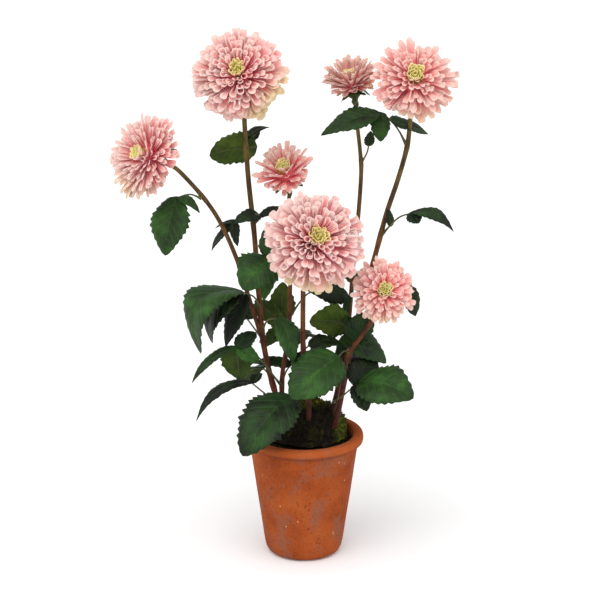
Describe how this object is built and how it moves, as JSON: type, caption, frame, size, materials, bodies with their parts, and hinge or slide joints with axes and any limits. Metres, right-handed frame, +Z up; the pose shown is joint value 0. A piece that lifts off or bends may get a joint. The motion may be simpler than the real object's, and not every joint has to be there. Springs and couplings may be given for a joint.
{
  "type": "potted dahlia",
  "caption": "Pompon dahlia plant with pink quilled blooms, yellow hearts and toothed leaves on brown stems, in a round terracotta pot with mossy soil.",
  "frame": {"origin": "centre of the pot's flat underside, which rests on the surface", "axes": "+Z up along the pot's axis, -Y towards the front, the side that the large blooms face, +X to the right seen from the front"},
  "size_m": [0.3814, 0.2014, 0.6022],
  "materials": {
    "pot": "matte",
    "soil": "matte",
    "moss": "matte",
    "stems": "satin",
    "leaves": "satin",
    "petals": "matte",
    "hearts": "matte",
    "sepals": "satin"
  },
  "bodies": {
    "root": {"pot": "pot", "soil": "soil", "moss": "moss", "stem_centre": "stems", "stem_left": "stems", "stem_right": "stems", "stem_small_left": "stems", "stem_small_right": "stems", "petals_top_left": "petals", "heart_top_left": "hearts", "calyx_top_left": "sepals", "petals_left": "petals", "heart_left": "hearts", "calyx_left": "sepals", "petals_small_left": "petals", "heart_small_left": "hearts", "calyx_small_left": "sepals", "petals_centre": "petals", "heart_centre": "hearts", "calyx_centre": "sepals", "petals_low_right": "petals", "heart_low_right": "hearts", "calyx_low_right": "sepals", "petals_top_right": "petals", "heart_top_right": "hearts", "calyx_top_right": "sepals", "petals_small_right": "petals", "heart_small_right": "hearts", "calyx_small_right": "sepals", "leaf_arch": "leaves", "leaf_back_left": "leaves", "leaf_back_low": "leaves", "leaf_back_low_left": "leaves", "leaf_back_middle": "leaves", "leaf_back_right": "leaves", "leaf_fore": "leaves", "leaf_front": "leaves", "leaf_hub": "leaves", "leaf_inner_right": "leaves", "leaf_left_front": "leaves", "leaf_left_mid": "leaves", "leaf_left_shoulder": "leaves", "leaf_left_top": "leaves", "leaf_left_under": "leaves", "leaf_left_wing": "leaves", "leaf_level": "leaves", "leaf_low_back": "leaves", "leaf_low_left": "leaves", "leaf_low_right": "leaves", "leaf_middle_back": "leaves", "leaf_middle_left": "leaves", "leaf_middle_right": "leaves", "leaf_right_mid": "leaves", "leaf_right_top": "leaves", "leaf_shade_right": "leaves", "leaf_slim_right": "leaves"}
  },
  "joints": []
}
